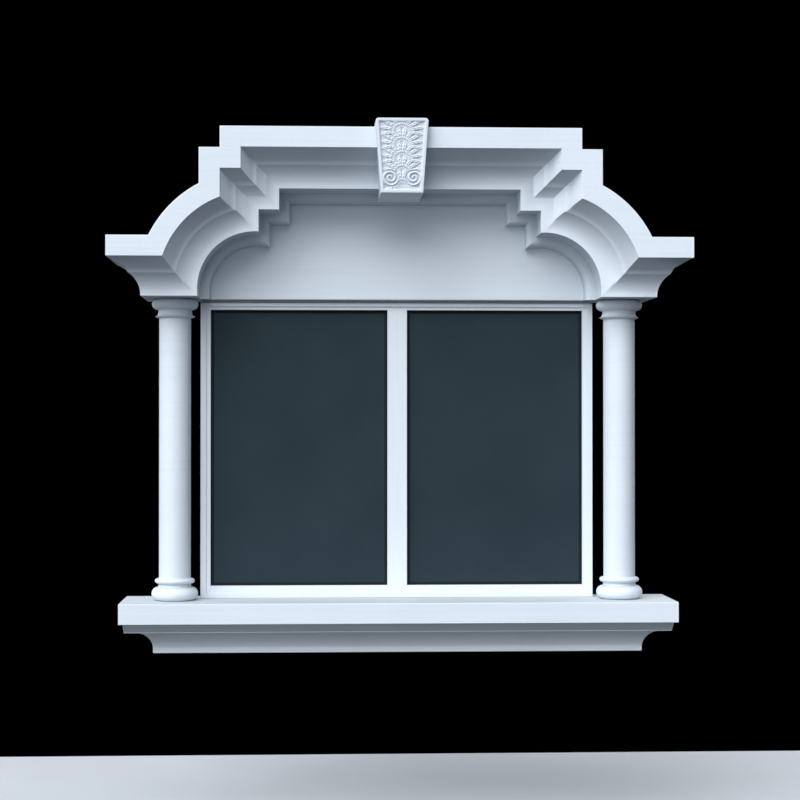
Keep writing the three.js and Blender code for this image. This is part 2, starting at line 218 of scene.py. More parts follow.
def strip(upper, lower):
    """Four-sided faces between two lines with as many points."""
    pairs = list(zip(upper, lower))
    return [[a, b, d, c] for (a, b), (c, d) in zip(pairs, pairs[1:])]


def skin(lines):
    return [face for upper, lower in zip(lines, lines[1:]) for face in strip(upper, lower)]


def ring_skin(rings):
    return skin([[*ring, ring[0]] for ring in rings])


def new_mesh(name, faces):
    """A closed mesh from faces that are lists of [x, y, z] corners in millimetres."""
    work = bmesh.new()
    for face in faces:
        work.faces.new([work.verts.new([value * MM for value in corner]) for corner in face])
    bmesh.ops.remove_doubles(work, verts=work.verts, dist=MERGE_DISTANCE * MM)
    bmesh.ops.recalc_face_normals(work, faces=work.faces)
    mesh = bpy.data.meshes.new(name)
    work.to_mesh(mesh)
    work.free()
    return mesh


def new_object(name, mesh):
    obj = bpy.data.objects.new(name, mesh)
    bpy.context.scene.collection.objects.link(obj)
    return obj


def shade(obj):
    """Smooth over the worn edges, flat over the wide faces."""
    obj.data.shade_smooth()
    obj.data.set_sharp_from_angle(angle=SHARP_ANGLE)
    weighted = obj.modifiers.new("flat_faces", "WEIGHTED_NORMAL")
    weighted.keep_sharp = True


def finish_piece(obj, material, slot, *nodes):
    """Shades and dresses a piece, and puts it in the place of its solids."""
    shade(obj)
    obj.data.materials.append(material)
    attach(obj, "root")
    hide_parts(*nodes)


# Sill

def sill_profile(fillet_foot, hollow):
    """Drop below the top and recess behind the fascia, from the top down."""
    cove_recess = SILL_COVE_START + SILL_COVE_WIDTH
    profile = [
        (0, 2 * ARRIS),
        (0, 0),
        (SILL_FASCIA, 0),
        (SILL_FASCIA, SILL_FILLET_RECESS),
        (SILL_FASCIA + SILL_FILLET, fillet_foot),
        *hollow,
        (SILL_HEIGHT, cove_recess),
        (SILL_HEIGHT, cove_recess + 2 * ARRIS),
    ]
    return eased(profile, ARRIS)


def sill_mesh():
    """The hollow under the fillet is a full cove at the ends and a shallow slope at the front."""
    hollow_top = SILL_FASCIA + SILL_FILLET
    cove_recess = SILL_COVE_START + SILL_COVE_WIDTH
    hollow_end = (hollow_top + SILL_COVE_HEIGHT, cove_recess)
    end_hollow = cove((hollow_top, SILL_COVE_START), hollow_end, COVE_STEPS)
    front_hollow = []
    for drop, _ in end_hollow:
        share = (drop - hollow_top) / SILL_COVE_HEIGHT
        bowed = share + SILL_SLOPE_HOLLOW * share * (1 - share)
        front_hollow.append((drop, lerp(SILL_FRONT_FILLET_FOOT + 2 * GAP, cove_recess, bowed)))
    ends = sill_profile(SILL_FILLET_RECESS, end_hollow)
    fronts = sill_profile(SILL_FRONT_FILLET_FOOT, front_hollow)
    rings = []
    for (drop, end_recess), (_, front_recess) in zip(ends, fronts, strict=True):
        half = SILL_HALF_WIDTH - end_recess
        front = front_recess - SILL_DEPTH
        z = SILL_TOP - drop
        rings.append([(-half, front, z), (half, front, z), (half, 0, z), (-half, 0, z)])
    return new_mesh("sill_stone", [*ring_skin(rings), rings[0], rings[-1]])


# Columns

def column_section():
    """Half section from the foot up, as radius and height."""
    neck_top = BASE_TORUS_HEIGHT + BASE_NECK_HEIGHT
    ring_top = neck_top + BASE_RING_HEIGHT
    torus_bottom = COLUMN_HEIGHT - CAPITAL_TORUS_HEIGHT
    torus_foot = NECK_RADIUS + 2 * GAP
    flare_top = torus_bottom - CAPITAL_NECK_HEIGHT
    flare_bottom = flare_top - CAPITAL_FLARE_HEIGHT
    lip_bottom = flare_bottom - CAPITAL_LIP_HEIGHT
    flare = cove((flare_bottom, RING_RADIUS), (flare_top, NECK_RADIUS), COVE_STEPS)
    return [
        *half_round(TORUS_RADIUS, NECK_RADIUS, 0, BASE_TORUS_HEIGHT, TORUS_STEPS),
        *half_round(RING_RADIUS, SHAFT_RADIUS + 2 * GAP, neck_top, BASE_RING_HEIGHT, RING_STEPS),
        (SHAFT_RADIUS, ring_top + 2 * GAP),
        (SHAFT_RADIUS, lip_bottom - CAPITAL_LIP_HEIGHT),
        (RING_RADIUS - CAPITAL_LIP_HEIGHT, lip_bottom),
        *[(radius, z) for z, radius in flare],
        *half_round(TORUS_RADIUS, torus_foot, torus_bottom, CAPITAL_TORUS_HEIGHT, TORUS_STEPS),
    ]


def column_mesh(name, side):
    rings = []
    for radius, z in column_section():
        ring = []
        for i in range(COLUMN_SIDES):
            angle = 2 * math.pi * i / COLUMN_SIDES
            x = side * COLUMN_X + radius * math.cos(angle)
            y = COLUMN_Y + radius * math.sin(angle)
            ring.append((x, y, SILL_TOP + GAP + z))
        rings.append(ring)
    return new_mesh(name, [*ring_skin(rings), rings[0], rings[-1]])


# Crown

def crown_profile():
    """Distance inwards from the outline, and how far the moulding stands out from the core."""
    profile = [
        (0, CROWN_PROJECTION - 2 * ARRIS),
        (0, CROWN_PROJECTION),
        (CROWN_FASCIA, CROWN_PROJECTION),
        (CROWN_FASCIA, CROWN_PROJECTION - SOFFIT_DEPTH),
        (SLOPE_END, FILLET_TOP_PROJECTION),
        *cove((FILLET_END, FILLET_FOOT_PROJECTION), (COVE_END, 0), COVE_STEPS, COVE_START),
        (MOULDING_WIDTH, 0),
        (MOULDING_WIDTH, -2 * ARRIS),
    ]
    return eased(profile, ARRIS)


def inside_profile():
    """From the moulding's lower edge over the set-back band, rounded at its inner edge, to the wall."""
    band_end = MOULDING_WIDTH + BAND_WIDTH
    profile = [(MOULDING_WIDTH, 2 * ARRIS - CROWN_CORE_DEPTH), (MOULDING_WIDTH, BAND_FACE)]
    for i in range(BAND_ROUND_STEPS + 1):
        angle = math.pi / 2 * i / BAND_ROUND_STEPS
        offset = band_end - BAND_ROUND * (1 - math.sin(angle))
        profile.append((offset, BAND_FACE + BAND_ROUND * (1 - math.cos(angle))))
    profile.append((band_end, 0))
    return eased(profile, ARRIS)


def half_outline(offset, foot_drop):
    """Right half of the outline moved inwards by an offset, from the middle to the arc's foot."""
    radius = ARC_RADIUS - offset
    step_x = LOWER_STEP_X - offset
    start = math.acos((step_x - ARC_CENTRE_X) / radius)
    end = math.asin((ARC_CENTRE_DROP - foot_drop) / radius)
    points = [
        (UPPER_STEP_X - offset, CROWN_TOP - offset),
        (UPPER_STEP_X - offset, CROWN_TOP - STEP_DROP - offset),
        (step_x, CROWN_TOP - STEP_DROP - offset),
    ]
    for i in range(ARC_STEPS + 1):
        angle = lerp(start, end, i / ARC_STEPS)
        x = ARC_CENTRE_X + radius * math.cos(angle)
        points.append((x, CROWN_TOP - ARC_CENTRE_DROP + radius * math.sin(angle)))
    return points


def both_halves(right):
    left = [(-point[0], *point[1:]) for point in reversed(right)]
    return left + right


def arch_outline(offset):
    return both_halves(half_outline(offset, min(END_DROP + offset, CROWN_HEIGHT)))


def moulding_line(offset, projection):
    """One line of the moulding, along the arch, the level ends and the returns to the wall."""
    drop = END_DROP + offset
    y = -CROWN_CORE_DEPTH - projection
    end_x = CROWN_CORE_X + projection
    end_z = CROWN_TOP - drop
    right = [(x, y, z) for x, z in half_outline(offset, drop)]
    return both_halves([*right, (end_x, y, end_z), (end_x, 0, end_z)])


def crown_mesh():
    moulding = [moulding_line(*point) for point in crown_profile()]
    inside = [[(x, y, z) for x, z in arch_outline(offset)] for offset, y in inside_profile()]
    outer_edge = moulding[0][1:-1]
    outer_wall = [(x, 0, z) for x, y, z in outer_edge]
    right_return = [line[-1] for line in moulding[1:]]
    left_return = [line[0] for line in moulding[1:]]
    back = [*outer_wall, *right_return, *reversed(inside[-1]), *reversed(left_return)]
    last = moulding[-1]
    right_under = [line[-1] for line in inside] + [last[-1], last[-2]]
    left_under = [line[0] for line in inside] + [last[0], last[1]]
    faces = [*strip(outer_wall, outer_edge), *skin(moulding), *skin(inside)]
    return new_mesh("crown_stone", [*faces, back, right_under, left_under])


def keystone_half_width(height):
    straight = lerp(KEYSTONE_BOTTOM_WIDTH, KEYSTONE_TOP_WIDTH, height / KEYSTONE_HEIGHT) / 2
    into_corner = max(0, height - (KEYSTONE_HEIGHT - KEYSTONE_CORNER))
    kept = math.sqrt(KEYSTONE_CORNER ** 2 - into_corner ** 2)
    return straight - (KEYSTONE_CORNER - kept)


def pocket_mesh():
    """The wedge that the keystone takes out of the crown."""
    foot = KEYSTONE_FOOT - GAP
    head = CROWN_TOP + KEYSTONE_RISE - KEYSTONE_CORNER
    bottom_half = keystone_half_width(0) + GAP
    top_half = keystone_half_width(head - KEYSTONE_FOOT) + GAP
    outline = [(-bottom_half, foot), (bottom_half, foot), (top_half, head), (-top_half, head)]
    front = [(x, KEYSTONE_FACE - KEYSTONE_PROUD, z) for x, z in outline]
    back = [(x, BAND_FACE - GAP, z) for x, z in outline]
    return new_mesh("pocket", [*ring_skin([front, back]), front, back])


def cut_out(obj, mesh):
    """Takes a mesh out of an object for good."""
    cutter = new_object("cutter", mesh)
    cut = obj.modifiers.new("cut", "BOOLEAN")
    cut.operation = "DIFFERENCE"
    cut.solver = "EXACT"
    cut.object = cutter
    depsgraph = bpy.context.evaluated_depsgraph_get()
    result = bpy.data.meshes.new_from_object(obj.evaluated_get(depsgraph))
    obj.modifiers.clear()
    obj.data = result
    bpy.data.objects.remove(cutter)


# Tympanum

def tympanum_mesh():
    """A flat panel whose lower front edge is worn round."""
    outline = arch_outline(MOULDING_WIDTH + BAND_WIDTH + GAP)
    profile = [(0, 0), (0, TYMPANUM_FACE), (2 * TYMPANUM_ARRIS, TYMPANUM_FACE)]
    rings = []
    for lift, y in eased(profile, TYMPANUM_ARRIS):
        rings.append([(x, y, max(z, CROWN_BOTTOM + lift)) for x, z in outline])
    return new_mesh("tympanum_stone", [*ring_skin(rings), rings[0], rings[-1]])


# Keystone

def leaf(x, z, root, angle):
    """A lobed ridge with a fine groove along it, from a root on the middle line."""
    along = x * math.cos(angle) + (z - root) * math.sin(angle) - LEAF_OUT
    across = (z - root) * math.cos(angle) - x * math.sin(angle)
    relief = 1 - (along / LEAF_LENGTH) ** 2 - (across / LEAF_WIDTH) ** 2
    groove = LEAF_GROOVE * math.exp(-(across / LEAF_GROOVE_WIDTH) ** 2)
    lobes = LOBE_DEPTH * math.sin(math.pi * (along + abs(across)) / LOBE_LENGTH) ** 2
    return relief * (1 - groove - lobes)


def scroll(x, z):
    """A ridge that winds inwards to the eye, at a place seen from its middle."""
    distance = math.hypot(x, z)
    turn = math.atan2(z, x) / (2 * math.pi)
    relief = 0
    ridge = SCROLL_RADIUS - SCROLL_PITCH * turn
    while ridge > -SCROLL_RIDGE:
        relief = max(relief, 1 - ((distance - ridge) / SCROLL_RIDGE) ** 2)
        ridge -= SCROLL_PITCH
    return relief


def leaf_work(signed_x, z):
    """Height of the carving, from 0 on the sunk field to 1 on the crests."""
    x = abs(signed_x) * keystone_half_width(0) / keystone_half_width(z)
    scroll_x = x - SCROLL_MIDDLE[0]
    scroll_z = z - SCROLL_MIDDLE[1]
    if math.hypot(scroll_x, scroll_z) < SCROLL_RADIUS + SCROLL_RIDGE:
        return scroll(scroll_x, scroll_z)
    return max(0, *[leaf(x, z, root, angle) for root in FAN_ROOTS for angle in FAN_ANGLES])


def keystone_sink(x, height):
    """How far the face lies behind the keystone's margin at a point."""
    to_side = keystone_half_width(height) - abs(x)
    to_end = min(height, KEYSTONE_HEIGHT - height)
    to_edge = min(to_side, to_end)
    slope = min(max((to_edge - KEYSTONE_MARGIN) / KEYSTONE_SINK, 0), 1)
    worn = max(0, ARRIS - to_edge)
    rounding = ARRIS - math.sqrt(max(0, ARRIS ** 2 - worn ** 2))
    return slope * KEYSTONE_SINK * (1 - leaf_work(x, height)) + rounding


def keystone_mesh():
    rings = []
    for row in range(CARVING_ROWS + 1):
        height = KEYSTONE_HEIGHT * row / CARVING_ROWS
        half = keystone_half_width(height)
        z = KEYSTONE_FOOT + height
        ring = []
        for i in range(CARVING_COLUMNS + 1):
            x = lerp(-half, half, i / CARVING_COLUMNS)
            ring.append((x, KEYSTONE_FACE + keystone_sink(x, height), z))
        rings.append([*ring, (half, KEYSTONE_BACK, z), (-half, KEYSTONE_BACK, z)])
    return new_mesh("keystone_stone", [*ring_skin(rings), rings[0], rings[-1]])


# Window

def rectangle(left, right, bottom, top, y):
    return [(left, y, bottom), (right, y, bottom), (right, y, top), (left, y, top)]


def light_sides(side):
    """Left, right, bottom and top of one light's opening."""
    near = side * MULLION_WIDTH / 2
    far = side * (FRAME_HALF_WIDTH - FRAME_JAMB)
    bottom = SILL_TOP + FRAME_BOTTOM_RAIL
    top = SILL_TOP + FRAME_FACE_HEIGHT - FRAME_HEAD
    return min(near, far), max(near, far), bottom, top


def grown(sides, amount):
    left, right, bottom, top = sides
    return left - amount, right + amount, bottom - amount, top + amount


def pierced(sides, holes, y):
    """Flat faces over a rectangle, left open at two rectangles side by side."""
    left, right, bottom, top = sides
    xs = [left, holes[0][0], holes[0][1], holes[1][0], holes[1][1], right]
    zs = [bottom, holes[0][2], holes[0][3], top]
    faces = []
    for column, (x0, x1) in enumerate(zip(xs, xs[1:])):
        for row, (z0, z1) in enumerate(zip(zs, zs[1:])):
            if row == 1 and column in (1, 3):
                continue
            faces.append(rectangle(x0, x1, z0, z1, y))
    return faces


def frame_mesh():
    half = FRAME_HALF_WIDTH
    bottom = SILL_TOP + GAP
    face_top = SILL_TOP + FRAME_FACE_HEIGHT
    top = CROWN_BOTTOM - GAP
    front = -FRAME_DEPTH
    inner = front + FRAME_STEP
    shadow = front + HEAD_SHADOW_DEPTH
    outer = (-half, half, bottom, face_top)
    step_half = half - FRAME_OUTER_STRIP
    step = (-step_half, step_half, bottom + FRAME_OUTER_STRIP, face_top - FRAME_HEAD / 2)
    holes = [light_sides(-1), light_sides(1)]
    ring_profile = eased([(-2 * ARRIS, front), (0, front), (0, inner), (2 * ARRIS, inner)], ARRIS / 2)
    outer_profile = eased([(0, front + 2 * ARRIS), (0, front), (2 * ARRIS, front)], ARRIS)
    hole_profile = eased([(2 * ARRIS, inner), (0, inner), (0, inner + 2 * ARRIS)], ARRIS)
    rings = [rectangle(*grown(outer, -inset), y) for inset, y in outer_profile]
    rings += [rectangle(*grown(step, -inset), y) for inset, y in ring_profile]
    faces = ring_skin(rings)
    step_inside = grown(step, -2 * ARRIS)
    faces += pierced(step_inside, [grown(hole, 2 * ARRIS) for hole in holes], inner)
    for hole in holes:
        reveal = [rectangle(*grown(hole, inset), y) for inset, y in hole_profile]
        faces += ring_skin([*reveal, rectangle(*hole, 0)])
    faces += pierced((-half, half, bottom, top), holes, 0)
    edge = front + 2 * ARRIS
    for x in (-half, half):
        side = [(0, bottom), (edge, bottom), (edge, face_top), (shadow, face_top), (shadow, top), (0, top)]
        faces.append([(x, y, z) for y, z in side])
    levels = [((0, bottom), (edge, bottom)), ((edge, face_top), (shadow, face_top))]
    levels += [((shadow, face_top), (shadow, top)), ((shadow, top), (0, top))]
    for (y0, z0), (y1, z1) in levels:
        faces.append([(-half, y0, z0), (half, y0, z0), (half, y1, z1), (-half, y1, z1)])
    return new_mesh("window_frame_painted", faces)


def pane_mesh(name, side):
    """A pane held by a rubber seal on both faces; the two glass faces come last."""
    front = GLASS_SETBACK - FRAME_DEPTH
    back = front + GLASS_THICKNESS
    sides = grown(light_sides(side), -GAP)
    half = [
        (0, front - SEAL_PROUD + SEAL_ARRIS),
        (SEAL_ARRIS, front - SEAL_PROUD),
        (SEAL_WIDTH - SEAL_ARRIS, front - SEAL_PROUD),
        (SEAL_WIDTH, front - SEAL_PROUD + SEAL_ARRIS),
        (SEAL_WIDTH, front),
    ]
    other_half = [(inset, front + back - y) for inset, y in reversed(half)]
    rings = [rectangle(*grown(sides, -inset), y) for inset, y in other_half + half]
    return new_mesh(name, [*ring_skin(rings), rings[0], rings[-1]])


# Material tones

PALE = (0.795, 0.855, 0.915, 1)
DULL = (0.765, 0.825, 0.885, 1)
STREAK_TONE = (0.60, 0.66, 0.73, 1)
# Grey used for painted shade in corners, recesses, undersides and carving hollows, and also for the
# pinholes
PAINTED_SHADE_AND_PINHOLE_TONE = (0.42, 0.48, 0.55, 1)
# Painted shade on faces that look upwards
TOP_SHADE_TONE = (0.47, 0.49, 0.50, 1)
# Painted highlight along edges that stand out
EDGE_HIGHLIGHT_TONE = (0.90, 0.93, 0.96, 1)
CARVED_PALE = (0.76, 0.81, 0.86, 1)
CARVED_DULL = (0.715, 0.765, 0.82, 1)
PAINT_PALE = (0.81, 0.86, 0.91, 1)
PAINT_DULL = (0.77, 0.82, 0.875, 1)
GLASS_DEEP = (0.023, 0.038, 0.047, 1)
GLASS_DUSTY = (0.029, 0.046, 0.056, 1)
RUBBER_DARK = (0.007, 0.009, 0.011, 1)
RUBBER_DUSTY = (0.016, 0.019, 0.022, 1)
FLOOR_DULL = (0.56, 0.58, 0.61, 1)
FLOOR_PALE = (0.61, 0.63, 0.66, 1)

# Noise: its detail, and the middle part of its values, which most of a surface has
SMOOTH_DETAIL = 2.0
PLAIN_DETAIL = 3.0
FINE_DETAIL = 4.0
MIDDLE = (0.3, 0.7)
SHELTER_SAMPLES = 8

# Stone: the scale of each mark, the values over which it comes in, and its strength;
# reach and relief are in metres
CLOUD_SCALE = 2.2
CLOUD_RANGE = (0.35, 0.65)
STREAK_STRETCH = (1.5, 1.5, 70)
STREAK_RANGE = (0.5, 0.75)
STREAK_SHARE = 0.16
GRAIN_SCALE = 320
GRAIN_RANGE = (0.35, 0.7)
GRAIN_SHARE = 0.1
PINHOLE_SCALE = 55
PINHOLE_RANGE = (0.05, 0.11)
PINHOLE_SHARE = 0.35
PATCH_SCALE = 9
PATCH_RANGE = (0.56, 0.66)
# Painted shade in corners and recesses, where other surfaces are near
CORNER_SHADE_RANGE = (0.2, 0.9)
# Painted highlight along edges that stand out
EDGE_HIGHLIGHT_REACH = 0.006
EDGE_HIGHLIGHT_RANGE = (0.6, 0.95)
EDGE_HIGHLIGHT_SHARE = 0.6
# Painted shade on faces that look upwards
TOP_SHADE_RANGE = (0.5, 1)
TOP_SHADE_SHARE = 0.6
# Painted shade on faces that look downwards
UNDERSIDE_SHADE_RANGE = (-0.9, -0.05)
STONE_ROUGHNESS = (0.56, 0.72)
STONE_RELIEF = 0.0006

# Stone: how much painted shade its corners get, how far that reaches in metres, and how much painted shade
# its undersides get
PLAIN_CORNER_SHADE = {"corner_shade_share": 0.1, "corner_shade_reach": 0.08}
CROWN_PAINTED_SHADE = {"corner_shade_share": 0.5, "corner_shade_reach": 0.16, "underside_shade_share": 0.75}
CARVED_CORNER_SHADE = {"corner_shade_share": 0.5, "corner_shade_reach": 0.12}
# Painted shade in the hollows of the carving
CARVED_HOLLOW_SHADE_SHARE = 0.3

# Paint, glass, rubber and floor
PAINT_LINE_STRETCH = (400, 400, 3)
PAINT_LINE_RANGE = (0.4, 0.7)
PAINT_RIPPLE_SCALE = 140
# Painted shade in the frame's corners
PAINT_CORNER_SHADE_REACH = 0.03
PAINT_CORNER_SHADE_RANGE = (0.3, 0.9)
PAINT_CORNER_SHADE_SHARE = 0.3
PAINT_ROUGHNESS = (0.3, 0.42)
PAINT_RELIEF = 0.0001
DUST_SCALE = 3.0
WIPING_STRETCH = (14, 14, 3)
WIPING_RANGE = (0.35, 0.7)
GLASS_ROUGHNESS = (0.06, 0.16)
MOTTLE_SCALE = 500
RUBBER_ROUGHNESS = (0.55, 0.75)
RUBBER_SHINE = 0.15
RUBBER_RELIEF = 0.0001
FLOOR_CLOUD_SCALE = 1.2
FLOOR_ROUGHNESS = (0.6, 0.75)


# Materials

def add_node(tree, kind, inputs, **settings):
    """A new node; each input is a plain value or the output of another node."""
    node = tree.nodes.new(kind)
    for name, value in settings.items():
        setattr(node, name, value)
    for name, value in inputs.items():
        if isinstance(value, bpy.types.NodeSocket):
            tree.links.new(value, node.inputs[name])
        else:
            node.inputs[name].default_value = value
    return node


def new_material(name):
    """A material with its tree, its shader and the place on the piece in metres."""
    material = bpy.data.materials.new(name)
    material.use_nodes = True
    tree = material.node_tree
    place = add_node(tree, "ShaderNodeTexCoord", {}).outputs["Object"]
    return material, tree, tree.nodes["Principled BSDF"], place


def noise(tree, place, scale, detail=PLAIN_DETAIL):
    inputs = {"Vector": place, "Scale": scale, "Detail": detail}
    return add_node(tree, "ShaderNodeTexNoise", inputs).outputs[0]


def stretched_noise(tree, place, stretch, detail=PLAIN_DETAIL):
    inputs = {"Vector": place, "Scale": stretch}
    stretched = add_node(tree, "ShaderNodeMapping", inputs).outputs["Vector"]
    return noise(tree, stretched, 1.0, detail)


def remap(tree, value, low, high, to_low=0.0, to_high=1.0):
    inputs = {"Value": value, "From Min": low, "From Max": high, "To Min": to_low, "To Max": to_high}
    return add_node(tree, "ShaderNodeMapRange", inputs).outputs["Result"]


def blend(tree, share, first, second):
    colours = {0: share, 6: first, 7: second}
    return add_node(tree, "ShaderNodeMix", colours, data_type="RGBA").outputs[2]


def combine(tree, operation, first, second):
    return add_node(tree, "ShaderNodeMath", {0: first, 1: second}, operation=operation).outputs[0]


def along_axis(tree, vector, axis):
    return add_node(tree, "ShaderNodeSeparateXYZ", {"Vector": vector}).outputs[axis]


def openness(tree, distance, inside=False):
    """1 where nothing is near, less in corners; from inside, less along edges that stand out."""
    settings = {"inside": inside, "samples": SHELTER_SAMPLES}
    return add_node(tree, "ShaderNodeAmbientOcclusion", {"Distance": distance}, **settings).outputs["AO"]


def rough_surface(tree, shader, height, depth):
    inputs = {"Height": height, "Strength": 1.0, "Distance": depth}
    bump = add_node(tree, "ShaderNodeBump", inputs)
    tree.links.new(bump.outputs["Normal"], shader.inputs["Normal"])


def stone_material(name, pale, dull, corner_shade_share, corner_shade_reach, underside_shade_share=0.0):
    """Cast stone: clouds, streaks, grain and pinholes, with painted shade in corners, on upward faces and
    on undersides, and painted highlights along edges.
    """
    material, tree, shader, place = new_material(name)
    cloud = remap(tree, noise(tree, place, CLOUD_SCALE), *CLOUD_RANGE)
    streak = stretched_noise(tree, place, STREAK_STRETCH)
    grain = noise(tree, place, GRAIN_SCALE, SMOOTH_DETAIL)
    cell_inputs = {"Vector": place, "Scale": PINHOLE_SCALE}
    cell = add_node(tree, "ShaderNodeTexVoronoi", cell_inputs).outputs["Distance"]
    patch = remap(tree, noise(tree, place, PATCH_SCALE), *PATCH_RANGE)
    pinhole = combine(tree, "MULTIPLY", remap(tree, cell, *PINHOLE_RANGE, 1, 0), patch)
    # Painted shade: greyer in corners and recesses, where other surfaces are near
    corner = remap(tree, openness(tree, corner_shade_reach), *CORNER_SHADE_RANGE, corner_shade_share, 0)
    # Painted highlight: paler along edges that stand out
    arris = remap(tree, openness(tree, EDGE_HIGHLIGHT_REACH, inside=True), *EDGE_HIGHLIGHT_RANGE, EDGE_HIGHLIGHT_SHARE, 0)
    normal = add_node(tree, "ShaderNodeNewGeometry", {}).outputs["Normal"]
    upward = along_axis(tree, normal, "Z")
    colour = blend(tree, cloud, pale, dull)
    colour = blend(tree, remap(tree, streak, *STREAK_RANGE, 0, STREAK_SHARE), colour, STREAK_TONE)
    colour = blend(tree, remap(tree, grain, *GRAIN_RANGE, 0, GRAIN_SHARE), colour, STREAK_TONE)
    colour = blend(tree, combine(tree, "MULTIPLY", pinhole, PINHOLE_SHARE), colour, PAINTED_SHADE_AND_PINHOLE_TONE)
    colour = blend(tree, corner, colour, PAINTED_SHADE_AND_PINHOLE_TONE)
    colour = blend(tree, arris, colour, EDGE_HIGHLIGHT_TONE)
    # Painted shade: greyer on faces that look upwards
    colour = blend(tree, remap(tree, upward, *TOP_SHADE_RANGE, 0, TOP_SHADE_SHARE), colour, TOP_SHADE_TONE)
    # Painted shade: greyer on faces that look downwards
    colour = blend(tree, remap(tree, upward, *UNDERSIDE_SHADE_RANGE, underside_shade_share, 0), colour, PAINTED_SHADE_AND_PINHOLE_TONE)
    tree.links.new(colour, shader.inputs["Base Color"])
    tree.links.new(remap(tree, grain, *MIDDLE, *STONE_ROUGHNESS), shader.inputs["Roughness"])
    relief = combine(tree, "SUBTRACT", combine(tree, "ADD", grain, streak), pinhole)
    rough_surface(tree, shader, relief, STONE_RELIEF)
    return material, tree, shader, colour


def carved_material(name):
    """The same stone, with painted shade that greys the hollows of the carving."""
    material, tree, shader, colour = stone_material(name, CARVED_PALE, CARVED_DULL, **CARVED_CORNER_SHADE)
    place = add_node(tree, "ShaderNodeTexCoord", {}).outputs["Object"]
    depth = along_axis(tree, place, "Y")
    face = KEYSTONE_FACE * MM
    floor_depth = (KEYSTONE_FACE + KEYSTONE_SINK) * MM
    side_depth = (KEYSTONE_FACE + 2 * KEYSTONE_SINK) * MM
    sunk = remap(tree, depth, face, floor_depth)
    on_face = remap(tree, depth, floor_depth, side_depth, 1, 0)
    # Painted shade: the sunk field and the hollows of the carving are greyer
    share = combine(tree, "MULTIPLY", combine(tree, "MULTIPLY", sunk, on_face), CARVED_HOLLOW_SHADE_SHARE)
    tree.links.new(blend(tree, share, colour, PAINTED_SHADE_AND_PINHOLE_TONE), shader.inputs["Base Color"])
    return material


def painted_material(name):
    """Satin white paint on a drawn profile: faint lines along it, a soft ripple, and painted shade in its
    corners.
    """
    material, tree, shader, place = new_material(name)
    lines = stretched_noise(tree, place, PAINT_LINE_STRETCH, SMOOTH_DETAIL)
    ripple = noise(tree, place, PAINT_RIPPLE_SCALE, SMOOTH_DETAIL)
    # Painted shade: greyer in corners, where other surfaces are near
    corner = remap(tree, openness(tree, PAINT_CORNER_SHADE_REACH), *PAINT_CORNER_SHADE_RANGE, PAINT_CORNER_SHADE_SHARE, 0)
    colour = blend(tree, remap(tree, lines, *PAINT_LINE_RANGE), PAINT_PALE, PAINT_DULL)
    colour = blend(tree, corner, colour, PAINTED_SHADE_AND_PINHOLE_TONE)
    tree.links.new(colour, shader.inputs["Base Color"])
    tree.links.new(remap(tree, ripple, *MIDDLE, *PAINT_ROUGHNESS), shader.inputs["Roughness"])
    rough_surface(tree, shader, combine(tree, "ADD", ripple, lines), PAINT_RELIEF)
    return material


def glass_material(name):
    """Dark glass with a faint cloud of dust and wiping marks that dull it a little."""
    material, tree, shader, place = new_material(name)
    dust = noise(tree, place, DUST_SCALE, FINE_DETAIL)
    wiping = stretched_noise(tree, place, WIPING_STRETCH, FINE_DETAIL)
    colour = blend(tree, remap(tree, dust, *MIDDLE), GLASS_DEEP, GLASS_DUSTY)
    tree.links.new(colour, shader.inputs["Base Color"])
    tree.links.new(remap(tree, wiping, *WIPING_RANGE, *GLASS_ROUGHNESS), shader.inputs["Roughness"])
    return material


def rubber_material(name):
    """Black rubber with a fine dusty mottle."""
    material, tree, shader, place = new_material(name)
    mottle = noise(tree, place, MOTTLE_SCALE, SMOOTH_DETAIL)
    tree.links.new(blend(tree, mottle, RUBBER_DARK, RUBBER_DUSTY), shader.inputs["Base Color"])
    tree.links.new(remap(tree, mottle, *MIDDLE, *RUBBER_ROUGHNESS), shader.inputs["Roughness"])
    shader.inputs["Specular IOR Level"].default_value = RUBBER_SHINE
    rough_surface(tree, shader, mottle, RUBBER_RELIEF)
    return material


def floor_material(name):
    """A pale matt floor with wide soft clouds."""
    material, tree, shader, place = new_material(name)
    cloud = noise(tree, place, FLOOR_CLOUD_SCALE, FINE_DETAIL)
    colour = blend(tree, remap(tree, cloud, *MIDDLE), FLOOR_DULL, FLOOR_PALE)
    tree.links.new(colour, shader.inputs["Base Color"])
    tree.links.new(remap(tree, cloud, *MIDDLE, *FLOOR_ROUGHNESS), shader.inputs["Roughness"])
    return material


stone = stone_material("cast_stone", PALE, DULL, **PLAIN_CORNER_SHADE)[0]
# The crown's stone is a copy with stronger painted shade in its corners and painted shade on its
# undersides
crown_painted_shade = stone_material("crown_painted_shade_stone", PALE, DULL, **CROWN_PAINTED_SHADE)[0]
carved = carved_material("carved_stone")
painted = painted_material("white_frame")
glass = glass_material("dark_glass")
rubber = rubber_material("black_seal")

# Pieces

sill = new_object("sill_stone", sill_mesh())
finish_piece(sill, stone, "cast_stone", "sill")

for label, side in (("left", -1), ("right", 1)):
    column = new_object(f"column_{label}_stone", column_mesh(f"column_{label}_stone", side))
    finish_piece(column, stone, "cast_stone", f"column_{label}")
    pane = new_object(f"glass_{label}_pane", pane_mesh(f"glass_{label}_pane", side))
    finish_piece(pane, rubber, "dark_glass", f"glass_{label}")
    pane.data.materials.append(glass)
    for face in list(pane.data.polygons)[-2:]:
        face.material_index = 1

crown = new_object("crown_stone", crown_mesh())
cut_out(crown, pocket_mesh())
finish_piece(crown, crown_painted_shade, "cast_stone", "crown")

tympanum = new_object("tympanum_stone", tympanum_mesh())
finish_piece(tympanum, stone, "cast_stone", "tympanum")

